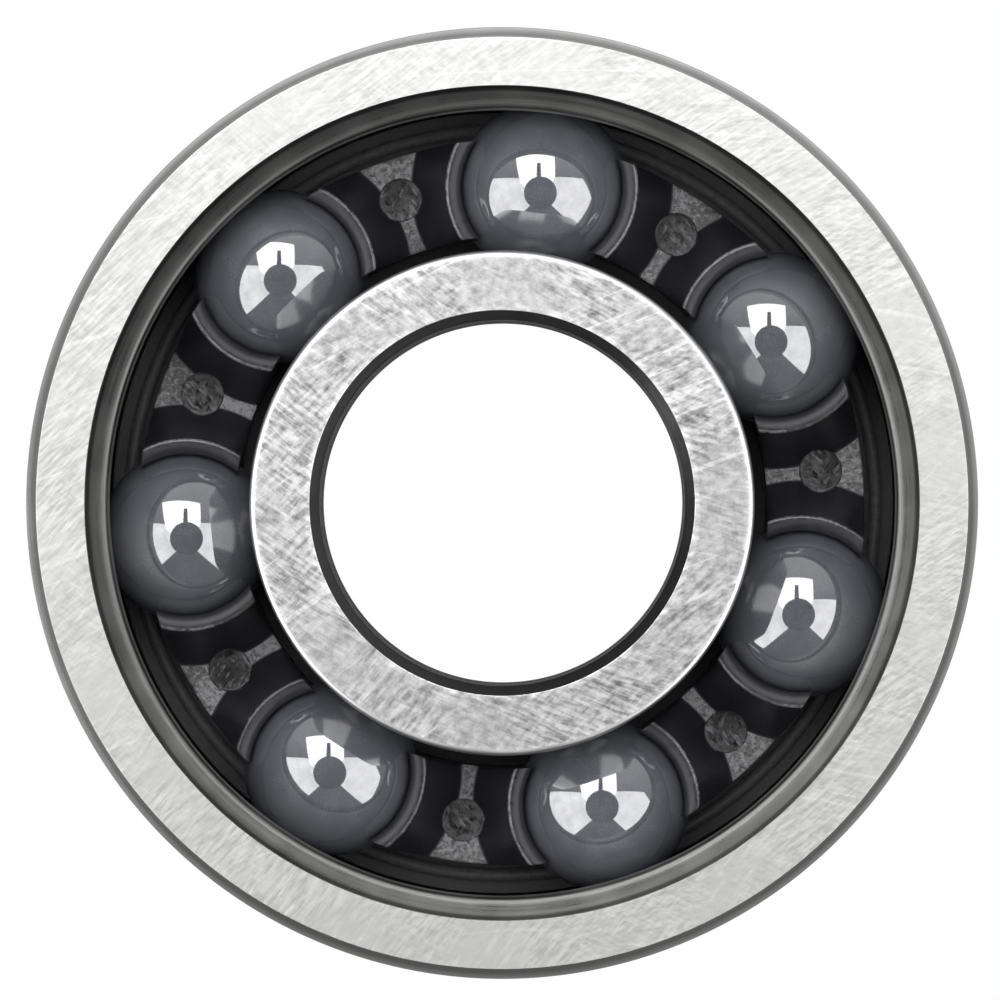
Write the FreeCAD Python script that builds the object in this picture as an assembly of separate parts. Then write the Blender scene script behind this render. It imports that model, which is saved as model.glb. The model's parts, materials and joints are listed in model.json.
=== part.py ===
import FreeCAD, Part
import math
import os

# Single-row deep-groove ball bearing, 10 x 26 x 8 mm, open on its +Z side and
# closed by one non-contact rubber seal on its -Z side.
# Frame: origin at the centre of the bearing, +Z along the bore axis towards the
# open side, lengths in millimetres.

os.makedirs("parts", exist_ok=True)

# ------------------------------------------------------------- whole bearing
bore_radius = 10.0 / 2
outside_radius = 26.0 / 2
half_width = 8.0 / 2

ball_count = 7
ball_diameter = 4.7625            # 3/16 inch
ball_radius = ball_diameter / 2
pitch_radius = 17.5 / 2
first_ball_angle = 82.89          # degrees from +X, right-handed about +Z
ball_step = 360.0 / ball_count
groove_radius = 0.52 * ball_diameter   # section radius of both raceways
race_gap = 0.008                  # ball to groove bottom, each side

# ---------------------------------------------------------------- outer ring
outer_corner = 0.28               # 45 degree corner on the outside diameter
shoulder_radius = 21.6 / 2        # either side of the raceway
shoulder_round = 0.16
lip_radius = 22.79 / 2            # mouth of the seal recess
undercut_radius = 23.3 / 2        # undercut that holds a seal's bead
undercut_corner = 0.08            # 45 degree corner between undercut and ledge

# Heights in the recess of the +Z face; the -Z recess mirrors them.
lip_z = half_width - 0.40
slope_z = half_width - 0.62       # full depth of the undercut starts here
ledge_outer_z = half_width - 0.98     # the ledge a seal stands on slopes from
ledge_inner_z = half_width - 1.035    # the undercut down to the shoulder
ledge_outer_radius = undercut_radius - undercut_corner
ledge_inner_radius = shoulder_radius + shoulder_round

# ---------------------------------------------------------------- inner ring
bore_corner = 0.267               # 45 degree corner in the bore
land_radius = 13.8 / 2
land_round = 0.15

# ---------------------------------------------------------------------- cage
cage_inside_radius = 14.6 / 2
cage_outside_radius = 20.0 / 2
cage_base_z = -3.0
cage_floor_z = -0.85              # top of the base ring
cage_tip_z = 1.42                 # tip faces of the claws
cage_edge = 0.12                  # 45 degree edges of the base ring
pocket_radius = 2.45
mouth_round = 0.30                # between a pocket and the tip faces
mouth_overshoot = 0.5             # the mouth cutter rises past the tip faces

# Backs of the claws, as radii about the ball's own vertical axis
claw_tip_radius = 2.655
claw_root_radius = 3.583          # where the back meets the floor
claw_hollow = 0.16                # how far the back is hollowed from straight
claw_tip_round = 0.08             # along the back of a tip face
claw_sink = 0.6                   # claws reach down into the base ring

# Shallow round marks in the floor, midway between the balls
ejector_radius = 0.6
ejector_circle_radius = 8.84
ejector_sink = 0.03
ejector_cutter_height = 5.0

# ---------------------------------------------------------------------- seal
insert_inside_radius = 7.45
insert_outside_radius = 11.05
insert_low_z = -3.65
insert_high_z = -3.40

seal_inside_radius = 6.98
seal_outer_z = -3.85
seal_inside_edge = 0.10           # 45 degree edge, outer side, at the inside
seal_face_radius = 11.34
seal_face_edge = 0.08             # 45 degree edge, outer side, at the outside
seal_bead_radius = 11.58
bead_corner = 0.14
recess_gap = 0.02                 # rubber to the recess's lip and slope
ledge_gap = 0.005                 # bead to ledge
shoulder_gap = 0.06               # radial, from the end of the ledge to the bead
bead_foot = 0.10                  # bead reaches this far inside the ledge's end
cover_z = insert_high_z + 0.15    # inner face of the rubber over the insert
cover_radius = 9.8                # rubber laps over the insert outside this
cover_slope = 0.10                # radial run of the lap's sloping edge
rib_radius = 10.37                # raised ring on the inner side
rib_half_width = 0.36 / 2
rib_height = 0.12
rib_taper = rib_height / 2        # radial run of each flank
rim_cover_radius = 7.62           # rubber also laps over the insert inside this
rim_cover_slope = 0.08
seal_lip_inner_z = -3.25
seal_lip_edge = 0.12              # 45 degree edge, inner side, at the inside


# ------------------------------------------------------------------- helpers
def turned(outline):
    """Revolve a closed outline about Z.

    outline is a list of (r, z) points; an entry (r, z, mid_r, mid_z) is reached
    by an arc through (mid_r, mid_z) from the point before it."""
    edges = []
    for start, end in zip(outline, outline[1:] + outline[:1]):
        start_point = FreeCAD.Vector(start[0], 0, start[1])
        end_point = FreeCAD.Vector(end[0], 0, end[1])
        if start_point.distanceToPoint(end_point) < 1e-9:
            continue
        if len(end) == 4:
            mid_point = FreeCAD.Vector(end[2], 0, end[3])
            edges.append(Part.Arc(start_point, mid_point, end_point).toShape())
        else:
            edges.append(Part.makeLine(start_point, end_point))
    face = Part.Face(Part.Wire(edges))
    solid = face.revolve(FreeCAD.Vector(0, 0, 0), FreeCAD.Vector(0, 0, 1), 360).Solids[0]
    # The outline may run either way round, so an inside-out solid is turned.
    if solid.Volume < 0:
        solid.reverse()
    return solid


def round_middle(centre_r, centre_z, radius, side):
    """Middle of an upper quarter round; side is +1 away from the axis, -1 towards it."""
    reach = radius * math.sqrt(0.5)
    return (centre_r + side * reach, centre_z + reach)


def around_axis(radius, steps, z):
    """Point at a number of ball steps, whole or not, from the first ball."""
    angle = math.radians(first_ball_angle + steps * ball_step)
    return FreeCAD.Vector(radius * math.cos(angle), radius * math.sin(angle), z)


def sphere_at(centre, radius):
    sphere = Part.makeSphere(radius)
    sphere.Placement = FreeCAD.Placement(centre, FreeCAD.Rotation())
    return sphere


def ledge_z(r):
    """Height of the sloping ledge of the +Z recess at radius r."""
    share = (ledge_outer_radius - r) / (ledge_outer_radius - ledge_inner_radius)
    return ledge_outer_z + share * (ledge_inner_z - ledge_outer_z)


# --------------------------------------------------------------------- rings
def make_outer_ring():
    race_bottom = pitch_radius + ball_radius + race_gap
    race_centre = race_bottom - groove_radius
    race_half = math.sqrt(groove_radius ** 2 - (shoulder_radius - race_centre) ** 2)
    shoulder_z = ledge_inner_z - shoulder_round
    mid_r, mid_z = round_middle(ledge_inner_radius, shoulder_z, shoulder_round, -1)
    return turned([
        (outside_radius, -half_width + outer_corner),
        (outside_radius, half_width - outer_corner),
        (outside_radius - outer_corner, half_width),
        (lip_radius, half_width),
        (lip_radius, lip_z),
        (undercut_radius, slope_z),
        (undercut_radius, ledge_outer_z + undercut_corner),
        (ledge_outer_radius, ledge_outer_z),
        (ledge_inner_radius, ledge_inner_z),
        (shoulder_radius, shoulder_z, mid_r, mid_z),
        (shoulder_radius, race_half),
        (shoulder_radius, -race_half, race_bottom, 0.0),
        (shoulder_radius, -shoulder_z),
        (ledge_inner_radius, -ledge_inner_z, mid_r, -mid_z),
        (ledge_outer_radius, -ledge_outer_z),
        (undercut_radius, -(ledge_outer_z + undercut_corner)),
        (undercut_radius, -slope_z),
        (lip_radius, -lip_z),
        (lip_radius, -half_width),
        (outside_radius - outer_corner, -half_width),
    ])


def make_inner_ring():
    race_bottom = pitch_radius - ball_radius - race_gap
    race_centre = race_bottom + groove_radius
    race_half = math.sqrt(groove_radius ** 2 - (race_centre - land_radius) ** 2)
    face_r = land_radius - land_round
    land_z = half_width - land_round
    mid_r, mid_z = round_middle(face_r, land_z, land_round, 1)
    return turned([
        (bore_radius, -half_width + bore_corner),
        (bore_radius + bore_corner, -half_width),
        (face_r, -half_width),
        (land_radius, -land_z, mid_r, -mid_z),
        (land_radius, -race_half),
        (land_radius, race_half, race_bottom, 0.0),
        (land_radius, land_z),
        (face_r, half_width, mid_r, mid_z),
        (bore_radius + bore_corner, half_width),
        (bore_radius, half_width - bore_corner),
    ])


# ---------------------------------------------------------------------- cage
def make_cage_base():
    return turned([
        (cage_inside_radius, cage_base_z + cage_edge),
        (cage_inside_radius + cage_edge, cage_base_z),
        (cage_outside_radius - cage_edge, cage_base_z),
        (cage_outside_radius, cage_base_z + cage_edge),
        (cage_outside_radius, cage_floor_z),
        (cage_inside_radius, cage_floor_z),
    ])


def make_claw_blank():
    """Hollow-sided cone about Z from which one pair of claws is cut."""
    run = claw_root_radius - claw_tip_radius
    rise = cage_tip_z - cage_floor_z
    chord = math.hypot(run, rise)
    # The back is an arc over the chord from root to tip, bulging to the axis.
    back_radius = (chord ** 2 / 4 + claw_hollow ** 2) / (2 * claw_hollow)
    offset = (back_radius - claw_hollow) / chord
    centre_r = (claw_tip_radius + claw_root_radius) / 2 + offset * rise
    centre_z = (cage_tip_z + cage_floor_z) / 2 + offset * run

    def back_r(z):
        return centre_r - math.sqrt(back_radius ** 2 - (z - centre_z) ** 2)

    round_z = cage_tip_z - claw_tip_round
    face_r = back_r(round_z) - claw_tip_round
    middle_z = (cage_floor_z + round_z) / 2
    return turned([
        (0.0, cage_floor_z - claw_sink),
        (claw_root_radius, cage_floor_z - claw_sink),
        (claw_root_radius, cage_floor_z),
        (back_r(round_z), round_z, back_r(middle_z), middle_z),
        (face_r, cage_tip_z, *round_middle(face_r, round_z, claw_tip_round, 1)),
        (0.0, cage_tip_z),
    ])


def make_claw_tube():
    """Tube that keeps the claws between the cage's inside and outside."""
    bottom_z = cage_floor_z - claw_sink
    height = cage_tip_z - bottom_z
    overshoot = 1.0
    outside = Part.makeCylinder(cage_outside_radius, height, FreeCAD.Vector(0, 0, bottom_z))
    inside = Part.makeCylinder(cage_inside_radius, height + 2 * overshoot,
                               FreeCAD.Vector(0, 0, bottom_z - overshoot))
    return outside.cut(inside)


def make_mouth_cutter():
    """Cutter whose round touches the pocket's sphere and the tip face."""
    round_z = cage_tip_z - mouth_round
    round_r = math.sqrt((pocket_radius + mouth_round) ** 2 - round_z ** 2)
    touch = pocket_radius / (pocket_radius + mouth_round)
    return turned([
        (0.0, round_z * touch),
        (round_r * touch, round_z * touch),
        (round_r, cage_tip_z, round_r - mouth_round, round_z),
        (round_r, cage_tip_z + mouth_overshoot),
        (0.0, cage_tip_z + mouth_overshoot),
    ])


def make_cage(ball_centres):
    """Crown: a closed base ring with a pair of claws standing up round each ball."""
    claw_blank = make_claw_blank()
    claw_tube = make_claw_tube()
    mouth_cutter = make_mouth_cutter()

    cage = make_cage_base()
    for centre in ball_centres:
        blank = claw_blank.copy()
        blank.translate(centre)
        cage = cage.fuse(claw_tube.common(blank))
    cage = cage.removeSplitter()
    for centre in ball_centres:
        mouth = mouth_cutter.copy()
        mouth.translate(centre)
        cage = cage.cut(sphere_at(centre, pocket_radius)).cut(mouth)
    for k in range(ball_count):
        foot = around_axis(ejector_circle_radius, k + 0.5, cage_floor_z - ejector_sink)
        cage = cage.cut(Part.makeCylinder(ejector_radius, ejector_cutter_height, foot))
    # The cuts may leave loose slivers; the cage is the largest solid.
    return max(cage.Solids, key=lambda solid: solid.Volume)


# ---------------------------------------------------------------------- seal
def make_seal_insert():
    """Flat steel washer inside the rubber."""
    return turned([
        (insert_inside_radius, insert_low_z),
        (insert_outside_radius, insert_low_z),
        (insert_outside_radius, insert_high_z),
        (insert_inside_radius, insert_high_z),
    ])


def make_seal_rubber(insert):
    """Rubber ring moulded round the insert, its bead sitting in the -Z recess."""
    bead_corner_r = seal_bead_radius - bead_corner
    bead_inner_r = ledge_inner_radius + shoulder_gap
    rib_top_z = cover_z + rib_height
    blank = turned([
        # outer side
        (seal_inside_radius, seal_outer_z + seal_inside_edge),
        (seal_inside_radius + seal_inside_edge, seal_outer_z),
        (seal_face_radius - seal_face_edge, seal_outer_z),
        (seal_face_radius, seal_outer_z + seal_face_edge),
        # bead
        (seal_face_radius, -lip_z + recess_gap),
        (seal_bead_radius, -slope_z + recess_gap),
        (seal_bead_radius, -ledge_outer_z - bead_corner),
        (bead_corner_r, -ledge_z(bead_corner_r) - ledge_gap),
        (bead_inner_r, -ledge_z(bead_inner_r) - ledge_gap),
        (ledge_inner_radius - bead_foot, cover_z),
        # raised ring
        (rib_radius + rib_half_width, cover_z),
        (rib_radius + rib_half_width - rib_taper, rib_top_z),
        (rib_radius - rib_half_width + rib_taper, rib_top_z),
        (rib_radius - rib_half_width, cover_z),
        # bare band of the insert, then the rim in the bore of the seal
        (cover_radius + cover_slope, cover_z),
        (cover_radius, insert_high_z),
        (rim_cover_radius + rim_cover_slope, insert_high_z),
        (rim_cover_radius, seal_lip_inner_z),
        (seal_inside_radius + seal_lip_edge, seal_lip_inner_z),
        (seal_inside_radius, seal_lip_inner_z - seal_lip_edge),
    ])
    return blank.cut(insert).Solids[0]


# -------------------------------------------------------------------- output
ball_centres = [around_axis(pitch_radius, k, 0.0) for k in range(ball_count)]
seal_insert = make_seal_insert()
nodes = {
    "outer_ring": make_outer_ring(),
    "inner_ring": make_inner_ring(),
    "cage": make_cage(ball_centres),
    "seal_rubber": make_seal_rubber(seal_insert),
    "seal_insert": seal_insert,
}
for number, centre in enumerate(ball_centres, start=1):
    nodes["ball_%d" % number] = sphere_at(centre, ball_radius)

for name, shape in nodes.items():
    shape.exportStep(os.path.join("parts", name + ".step"))
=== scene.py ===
# A ball bearing lying flat: the bore axis runs along Z through the origin, the
# open side faces +Z and a rubber seal closes the -Z side. Seven dark ceramic
# balls run between ground steel rings, held by a moulded cage whose claws point
# up (+Z). Sizes are in mm unless a comment says otherwise.
import json
import math

import bmesh
import bpy
import numpy as np
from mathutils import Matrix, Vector


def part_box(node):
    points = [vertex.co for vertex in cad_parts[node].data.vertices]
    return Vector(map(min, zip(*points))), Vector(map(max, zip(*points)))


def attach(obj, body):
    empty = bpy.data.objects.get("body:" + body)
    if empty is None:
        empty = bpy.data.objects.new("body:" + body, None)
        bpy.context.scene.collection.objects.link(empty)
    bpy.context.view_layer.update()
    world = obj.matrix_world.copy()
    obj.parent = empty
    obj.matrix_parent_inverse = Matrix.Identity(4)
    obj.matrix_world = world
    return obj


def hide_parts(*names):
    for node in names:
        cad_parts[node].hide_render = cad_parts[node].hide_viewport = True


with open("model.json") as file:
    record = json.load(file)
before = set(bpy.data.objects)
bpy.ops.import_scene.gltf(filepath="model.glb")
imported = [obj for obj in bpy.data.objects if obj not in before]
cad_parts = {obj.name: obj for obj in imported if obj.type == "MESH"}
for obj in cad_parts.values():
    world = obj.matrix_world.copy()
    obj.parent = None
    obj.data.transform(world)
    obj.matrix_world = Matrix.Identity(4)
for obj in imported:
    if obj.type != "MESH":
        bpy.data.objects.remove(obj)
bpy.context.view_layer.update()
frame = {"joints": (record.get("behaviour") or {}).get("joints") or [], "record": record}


MM = 0.001                                   # metres in a millimetre

# ------------------------------------------------------- sizes from the frame
ring_low, ring_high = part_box("outer_ring")
R_OUT = max(ring_high.x, -ring_low.x) / MM
HALF = ring_high.z / MM                      # half the bearing's width
BORE_R = frame["record"]["mounts"][0]["dims"]["r_mm"]

BALLS = range(1, 8)
ball_boxes = [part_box("ball_%d" % k) for k in BALLS]
BALL_R = max((high.z - low.z) / 2 / MM for low, high in ball_boxes)
joints = {joint["name"]: joint for joint in frame["joints"]}
CENTRES = [Vector(joints["ball_%d_spin" % k]["pos_m"]) / MM for k in BALLS]
PITCH_R = math.hypot(CENTRES[0].x, CENTRES[0].y)
BALL_ANGLES = [math.atan2(centre.y, centre.x) for centre in CENTRES]

cage_low, cage_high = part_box("cage")
CAGE_LOW, CAGE_TIP = cage_low.z / MM, cage_high.z / MM

# ----------------------------------------------------- sizes of the two rings
LAND_R = 6.9                                 # outside of the inner ring
SHOULDER_R = 10.8                            # inside of the outer ring
SHOULDER_ROUND = 0.16
OUTER_CHAMFER = 0.28
BORE_CHAMFER = 0.267

# The recess beside each face of the outer ring: a lip, an undercut behind it
# and a sloping ledge that ends at the shoulder.
LIP_R = 11.395
UNDER_R = 11.65
LEDGE_BEVEL = 0.08
LEDGE_R = UNDER_R - LEDGE_BEVEL
Z_LIP, Z_SLOPE, Z_LEDGE, Z_INNER = 3.60, 3.38, 3.02, 2.965

GROOVE_R = 0.52 * 2 * BALL_R
GAP = 0.008                                  # between ball and raceway
GROOVE_EASE = 0.02                           # support line beside a raceway


def ledge_z(r):
    """Height of the sloping ledge at radius r."""
    part = (LEDGE_R - r) / (LEDGE_R - SHOULDER_R - SHOULDER_ROUND)
    return Z_LEDGE + part * (Z_INNER - Z_LEDGE)


# ------------------------------------------------------------- mesh building
def add_mesh(name, verts, faces, materials):
    """New linked object; verts are in metres."""
    mesh = bpy.data.meshes.new(name)
    mesh.from_pydata([tuple(v) for v in verts], [], faces)
    for material in materials:
        mesh.materials.append(material)
    ob = bpy.data.objects.new(name, mesh)
    bpy.context.scene.collection.objects.link(ob)
    return ob


def face_outwards(mesh, merge=None):
    bm = bmesh.new()
    bm.from_mesh(mesh)
    if merge:
        bmesh.ops.remove_doubles(bm, verts=bm.verts, dist=merge)
    bmesh.ops.recalc_face_normals(bm, faces=bm.faces)
    bm.to_mesh(mesh)
    bm.free()


def make_object(name, verts, faces, materials, sharp, slots=None, merge=None):
    """Smooth-shaded object from verts in mm. sharp is the crease angle in
    degrees, slots the material number of each face, merge a distance in m."""
    ob = add_mesh(name, np.asarray(verts) * MM, faces, materials)
    mesh = ob.data
    if slots is not None:
        mesh.polygons.foreach_set("material_index", np.asarray(slots, np.int32))
    if merge:
        face_outwards(mesh, merge)
    mesh.update()
    mesh.polygons.foreach_set("use_smooth", [True] * len(mesh.polygons))
    mesh.set_sharp_from_angle(angle=math.radians(sharp))
    return ob


def outline(corners, steps):
    """Closed outline from (r, z, radius, tag[, tag of the round]) corners, each
    rounded by its radius, with a support point either side of a round. Returns
    points and the tag of the stretch that follows each one."""
    points, tags = [], []
    for i, (r, z, radius, tag, *round_tag) in enumerate(corners):
        corner = np.array((r, z))
        tag_before = corners[i - 1][3]
        if radius <= 0:
            points.append(corner)
            tags.append(tag)
            continue
        before = np.array(corners[i - 1][:2]) - corner
        after = np.array(corners[(i + 1) % len(corners)][:2]) - corner
        room_before, room_after = np.linalg.norm(before), np.linalg.norm(after)
        before, after = before / room_before, after / room_after
        half = math.acos(float(np.clip(before @ after, -1, 1))) / 2
        reach = radius / math.tan(half)
        start, end = corner + before * reach, corner + after * reach
        bisector = (before + after) / np.linalg.norm(before + after)
        centre = corner + bisector * (radius / math.sin(half))
        support = 0.35 * radius
        if reach + support < room_before * 0.49:
            points.append(start + before * support)
            tags.append(tag_before)
        first = math.atan2(start[1] - centre[1], start[0] - centre[0])
        last = math.atan2(end[1] - centre[1], end[0] - centre[0])
        turn = (last - first + math.pi) % (2 * math.pi) - math.pi
        for j in range(steps + 1):
            angle = first + turn * j / steps
            points.append(centre + radius * np.array([math.cos(angle), math.sin(angle)]))
            if round_tag and j < steps:
                tags.append(round_tag[0])
            else:
                tags.append(tag if j >= steps / 2 else tag_before)
        if reach + support < room_after * 0.49:
            points.append(end + after * support)
            tags.append(tag)
    return points, tags


def lathe(name, corners, materials, round_steps, segments, sharp=32.0):
    """Turn an outline round the bore axis; its tags are material numbers."""
    points, tags = outline(corners, round_steps)
    count = len(points)
    angles = np.arange(segments) * 2 * math.pi / segments
    r = np.array([point[0] for point in points])
    z = np.array([point[1] for point in points])
    verts = np.stack([np.outer(np.cos(angles), r), np.outer(np.sin(angles), r),
                      np.tile(z, (segments, 1))], -1).reshape(-1, 3)
    faces, slots = [], []
    for i in range(segments):
        here, there = i * count, (i + 1) % segments * count
        for j in range(count):
            k = (j + 1) % count
            faces.append((here + j, there + j, there + k, here + k))
            slots.append(tags[j])
    ob = make_object(name, verts, faces, materials, sharp, slots)
    # outlines are drawn either way round: turn the faces outwards if needed
    face_outwards(ob.data)
    ob.data.set_sharp_from_angle(angle=math.radians(sharp))
    return ob


def hand_over(ob, joint, part):
    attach(ob, joint)
    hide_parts(part)


# ------------------------------------------------------------------ node trees
class Nodes:
    """A short way to write the node tree of a material or world."""

    def __init__(self, owner, output="OutputMaterial"):
        self.owner = owner
        owner.use_nodes = True
        self.tree = owner.node_tree
        self.tree.nodes.clear()
        self.output = self.node(output)

    def node(self, kind, inputs=None, **props):
        """inputs maps a socket's name or number to a value or another socket."""
        node = self.tree.nodes.new("ShaderNode" + kind)
        for key, value in props.items():
            setattr(node, key, value)
        for key, value in (inputs or {}).items():
            if isinstance(value, bpy.types.NodeSocket):
                self.tree.links.new(value, node.inputs[key])
            else:
                node.inputs[key].default_value = value
        return node

    def finish(self, shader):
        self.tree.links.new(shader.outputs[0], self.output.inputs[0])
        return self.owner

    def coords(self):
        """Object coordinates in mm."""
        place = self.node("TexCoord").outputs["Object"]
        return self.vmath("MULTIPLY", place, (1 / MM,) * 3)

    def math(self, operation, a, b=0.0, clamp=False):
        return self.node("Math", {0: a, 1: b, 2: 0.0}, operation=operation,
                         use_clamp=clamp).outputs[0]

    def vmath(self, operation, a, b):
        return self.node("VectorMath", {0: a, 1: b}, operation=operation).outputs[0]

    def length(self, vector):
        return self.node("VectorMath", {0: vector}, operation="LENGTH").outputs["Value"]

    def flatten(self, place):
        """The place without its Z, and its distance from the Z axis."""
        flat = self.vmath("MULTIPLY", place, (1, 1, 0))
        return flat, self.length(flat)

    def noise(self, vector, scale=1.0, detail=2.0, rough=0.5):
        return self.node("TexNoise", {"Vector": vector, "Scale": scale, "Detail": detail,
                                      "Roughness": rough}).outputs["Fac"]

    def ramp(self, value, stops):
        """Grey ramp through (position, level) stops."""
        node = self.node("ValToRGB", {"Fac": value})
        elements = node.color_ramp.elements
        while len(elements) < len(stops):
            elements.new(0.5)
        for element, (position, level) in zip(elements, stops):
            element.position = position
            element.color = (level, level, level, 1)
        return node.outputs["Color"]

    def peaks(self, value, start, full, level=1.0):
        """Black up to start, then rising to level at full."""
        return self.ramp(value, [(0.0, 0.0), (start, 0.0), (full, level), (1.0, 1.0)])

    def remap(self, value, span, to=(0.0, 1.0)):
        return self.node("MapRange", {"Value": value, "From Min": span[0], "From Max": span[1],
                                      "To Min": to[0], "To Max": to[1]}).outputs["Result"]

    def mix(self, factor, a, b, blend="MIX"):
        """Mix two colours, each a socket or (r, g, b)."""
        a, b = (v if isinstance(v, bpy.types.NodeSocket) else (*v, 1) for v in (a, b))
        return self.node("Mix", {0: factor, 6: a, 7: b}, data_type="RGBA",
                         blend_type=blend).outputs[2]

    def bump(self, height, depth):
        """depth in mm."""
        return self.node("Bump", {"Height": height, "Distance": depth * MM,
                                  "Strength": 1.0}).outputs["Normal"]

    def principled(self, **inputs):
        return self.finish(self.node(
            "BsdfPrincipled", {key.replace("_", " "): v for key, v in inputs.items()}))


def new_material(name):
    return Nodes(bpy.data.materials.new(name))


def grey(level):
    return (level, level, level)


WHITE = (1.0, 1.0, 1.0, 1)
SEED_STEP = (7.31, 3.77, 1.9)                # moves the streak noise per seed


def streaks(tree, place, angle, along, across, seed, radius=None):
    """Noise drawn out along one direction (degrees from +X), or along arcs of a
    given radius whose middle runs in that direction. Scales are per mm."""
    turn = math.radians(angle)
    if radius is None:
        turned = tree.node("VectorRotate", {"Vector": place, "Angle": -turn},
                           rotation_type="Z_AXIS").outputs[0]
        vector = tree.vmath("MULTIPLY", turned, (along, across, 0.0))
    else:
        centre = (radius * math.sin(turn), -radius * math.cos(turn), 0)
        flat, distance = tree.flatten(tree.vmath("SUBTRACT", place, centre))
        xyz = tree.node("SeparateXYZ", {0: flat})
        around = tree.math("ARCTAN2", xyz.outputs[1], xyz.outputs[0])
        around = tree.math("MULTIPLY", around, radius * along)
        outward = tree.math("MULTIPLY", distance, across)
        vector = tree.node("CombineXYZ", {0: around, 1: outward, 2: 0.0}).outputs[0]
    vector = tree.vmath("ADD", vector, tuple(seed * step for step in SEED_STEP))
    return tree.noise(vector, detail=2.5, rough=0.6)


def shade_by_place(tree, place, colour, painted_light_by_radius, lean, lean_angle):
    """Paint light and shade onto a colour: scale it by (radius, factor) stations,
    which paint lighter and darker rings, and by 1 + lean towards lean_angle
    (degrees from +X) down to 1 - lean opposite, which paints one side lighter."""
    # painted light and shade: lighter and darker rings by radius
    if painted_light_by_radius:
        _, radius = tree.flatten(place)
        first, last = painted_light_by_radius[0][0], painted_light_by_radius[-1][0]
        peak = max(factor for _, factor in painted_light_by_radius)
        shade = tree.ramp(tree.remap(radius, span=(first, last)),
                          [((r - first) / (last - first), f / peak) for r, f in painted_light_by_radius])
        brightest = tree.mix(1.0, colour, grey(peak), blend="MULTIPLY")
        colour = tree.mix(1.0, brightest, shade, blend="MULTIPLY")
    # painted light: one side lighter, the opposite side darker
    if lean:
        xyz = tree.node("SeparateXYZ", {0: place})
        _, radius = tree.flatten(place)
        turn = math.radians(lean_angle)
        towards = tree.math("ADD", tree.math("MULTIPLY", xyz.outputs[0], math.cos(turn)),
                            tree.math("MULTIPLY", xyz.outputs[1], math.sin(turn)))
        # the lower limit keeps the division sound near the axis
        part = tree.math("DIVIDE", towards, tree.math("MAXIMUM", radius, 0.5))
        factor = tree.math("ADD", tree.math("MULTIPLY", part, lean), 1.0)
        colour = tree.mix(1.0, colour, factor, blend="MULTIPLY")
    return colour


# ------------------------------------------------------------- steel materials
def ground_face(name, families, dark, light, bump, blotch, cloud_scale, mask_low,
                stroke_weight, scratch_weight, lean, lean_angle, painted_light_by_radius=None):
    """Ground side face: crossing families of fine wheel marks in patches, with painted light
    and shade by radius and towards one side.
    families: (angle, arc radius, along, across, strength, patch seed)."""
    tree = new_material(name)
    place = tree.coords()
    height = None
    for number, (angle, radius, along, across, strength, patch) in enumerate(families, 1):
        marks = streaks(tree, place, angle, along, across, number, radius)
        mask = tree.noise(tree.vmath("ADD", place, (patch * 11.0, patch * 5.0, 0)),
                          scale=0.32, detail=1.5)
        mask = tree.remap(mask, span=(0.40, 0.62), to=(mask_low, 1.0))
        marks = tree.math("MULTIPLY", tree.math("SUBTRACT", marks, 0.5), strength)
        marks = tree.math("MULTIPLY", marks, mask)
        height = marks if height is None else tree.math("ADD", height, marks)
    fine = tree.remap(height, span=(-0.13, 0.13))
    # matted patches, short bright strokes and a few long faint scratches
    cloud = tree.noise(place, scale=cloud_scale, detail=4.0, rough=0.65)
    cloud = tree.remap(cloud, span=(0.36, 0.64))
    angle, radius, along, across = families[0][:4]
    strokes = streaks(tree, place, angle=angle + 8, along=along * 0.6, across=across * 0.8,
                      seed=21.0, radius=radius)
    strokes = tree.peaks(strokes, start=0.57, full=0.66)
    scratches = streaks(tree, place, angle=families[1][0] - 14, along=0.12, across=5.0,
                        seed=33.0, radius=45.0)
    scratches = tree.peaks(scratches, start=0.61, full=0.68)
    total = tree.math("ADD", tree.math("MULTIPLY", fine, 1 - blotch),
                      tree.math("MULTIPLY", cloud, blotch))
    total = tree.math("ADD", total, tree.math("MULTIPLY", strokes, stroke_weight))
    total = tree.math("ADD", total, tree.math("MULTIPLY", scratches, scratch_weight),
                      clamp=True)
    colour = tree.mix(total, dark, light)
    colour = shade_by_place(tree, place, colour, painted_light_by_radius, lean, lean_angle)
    return tree.principled(Base_Color=colour, Metallic=1.0,
                           Roughness=tree.remap(cloud, span=(0.0, 1.0), to=(0.38, 0.34)),
                           Normal=tree.bump(height, bump))


def turned_steel(name, base, rough, tint=0.12, bump=0.0004, fine=16.0, painted_light_by_radius=None,
                 lean=0.0, lean_angle=90.0):
    """Turned or honed steel: marks run round the bore axis, fine of them per mm.
    tint is how far the colour varies either way. Painted light and shade by radius and towards
    one side are scaled onto the colour."""
    tree = new_material(name)
    place = tree.coords()
    xyz = tree.node("SeparateXYZ", {0: place})
    _, radius = tree.flatten(place)
    around = tree.math("ARCTAN2", xyz.outputs[1], xyz.outputs[0])
    vector = tree.node("CombineXYZ", {0: tree.math("MULTIPLY", radius, fine),
                                      1: tree.math("MULTIPLY", xyz.outputs[2], fine),
                                      2: tree.math("MULTIPLY", around, 1.2)}).outputs[0]
    rings = tree.noise(vector, detail=3.0, rough=0.6)
    cloud = tree.noise(place, scale=0.8, detail=3.0)
    both = tree.math("ADD", tree.math("MULTIPLY", rings, 0.6),
                     tree.math("MULTIPLY", cloud, 0.4))
    dark = tuple(c * (1 - tint) for c in base)
    light = tuple(min(1.0, c * (1 + tint)) for c in base)
    colour = tree.mix(tree.remap(both, span=(0.3, 0.7)), dark, light)
    colour = shade_by_place(tree, place, colour, painted_light_by_radius, lean, lean_angle)
    return tree.principled(
        Base_Color=colour, Metallic=1.0, Normal=tree.bump(rings, bump),
        Roughness=tree.remap(both, span=(0.3, 0.7), to=(rough * 0.8, rough * 1.25)))


# Painted light: the outer face is 7 % lighter towards 115 degrees and 7 % darker opposite.
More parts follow.
